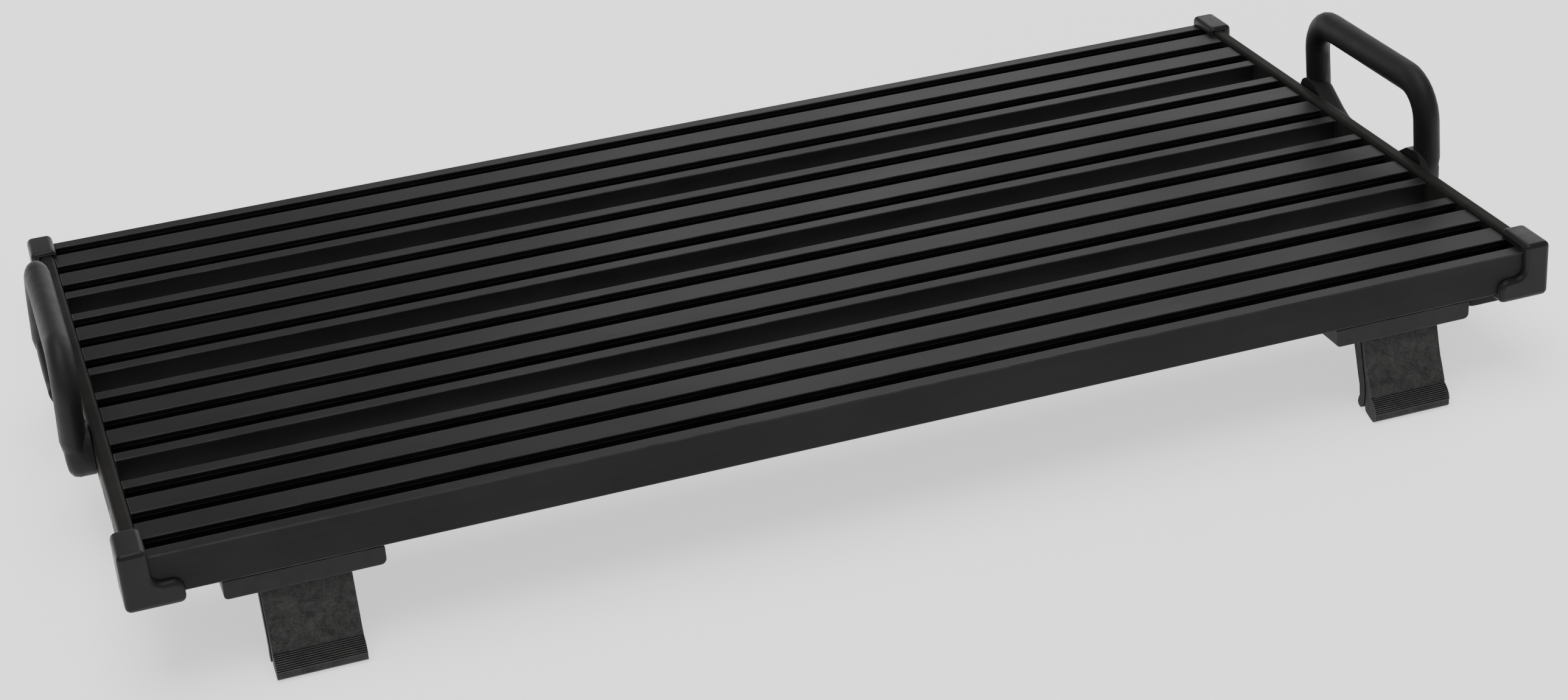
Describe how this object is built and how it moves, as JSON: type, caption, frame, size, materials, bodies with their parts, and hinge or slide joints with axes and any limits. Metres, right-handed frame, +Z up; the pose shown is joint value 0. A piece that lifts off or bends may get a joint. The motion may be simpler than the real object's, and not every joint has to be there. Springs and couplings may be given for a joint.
{
  "type": "pedalboard",
  "caption": "Slotted aluminium pedalboard deck between end rails with corner caps, side carrying handles and fold-out front legs.",
  "frame": {"origin": "centre of the bounding box's footprint, on the floor", "axes": "+X to the board's right, +Y to its back edge, +Z up; the deck is tilted, its front edge the higher"},
  "size_m": [0.5794, 0.3054, 0.0821],
  "materials": {
    "profile": "black anodised, satin",
    "rail": "black anodised, satin",
    "cap": "moulded, satin",
    "handle": "soft-touch, matte",
    "bracket": "moulded, satin",
    "leg": "moulded, fine texture",
    "shoe": "matte, mottled",
    "foot": "matte",
    "steel": "black oxide, oiled"
  },
  "bodies": {
    "frame": {"deck_profile_front": "profile", "deck_profile_middle_front": "profile", "deck_profile_middle_back": "profile", "deck_profile_back": "profile", "end_rail_left": "rail", "handle_left": "handle", "leg_bracket_left": "bracket", "hinge_pin_left": "steel", "corner_cap_front_left": "cap", "corner_cap_back_left": "cap", "rubber_foot_back_left": "foot", "foot_screw_back_left": "steel", "rail_screw_left_1": "steel", "rail_screw_left_2": "steel", "rail_screw_left_3": "steel", "rail_screw_left_4": "steel", "rail_screw_left_5": "steel", "rail_screw_left_6": "steel", "handle_screw_left_1": "steel", "handle_screw_left_2": "steel", "handle_screw_left_3": "steel", "handle_screw_left_4": "steel", "bracket_screw_left_1": "steel", "bracket_screw_left_2": "steel", "end_rail_right": "rail", "handle_right": "handle", "leg_bracket_right": "bracket", "hinge_pin_right": "steel", "corner_cap_front_right": "cap", "rubber_foot_front_right": "foot", "foot_screw_front_right": "steel", "corner_cap_back_right": "cap", "rubber_foot_back_right": "foot", "foot_screw_back_right": "steel", "rail_screw_right_1": "steel", "rail_screw_right_2": "steel", "rail_screw_right_3": "steel", "rail_screw_right_4": "steel", "rail_screw_right_5": "steel", "rail_screw_right_6": "steel", "handle_screw_right_1": "steel", "handle_screw_right_2": "steel", "handle_screw_right_3": "steel", "handle_screw_right_4": "steel", "bracket_screw_right_1": "steel", "bracket_screw_right_2": "steel"},
    "leg_left": {"leg_left": "leg", "leg_shoe_left": "shoe"},
    "leg_right": {"leg_right": "leg", "leg_shoe_right": "shoe"}
  },
  "joints": [
    {"name": "leg_left_fold", "type": "hinge", "parent": "frame", "child": "leg_left", "pos_m": [-0.2184, -0.13178, 0.03434], "axis": [1, 0, 0], "range_deg": [0, 108]},
    {"name": "leg_right_fold", "type": "hinge", "parent": "frame", "child": "leg_right", "pos_m": [0.2184, -0.13178, 0.03434], "axis": [1, 0, 0], "range_deg": [0, 108]}
  ]
}
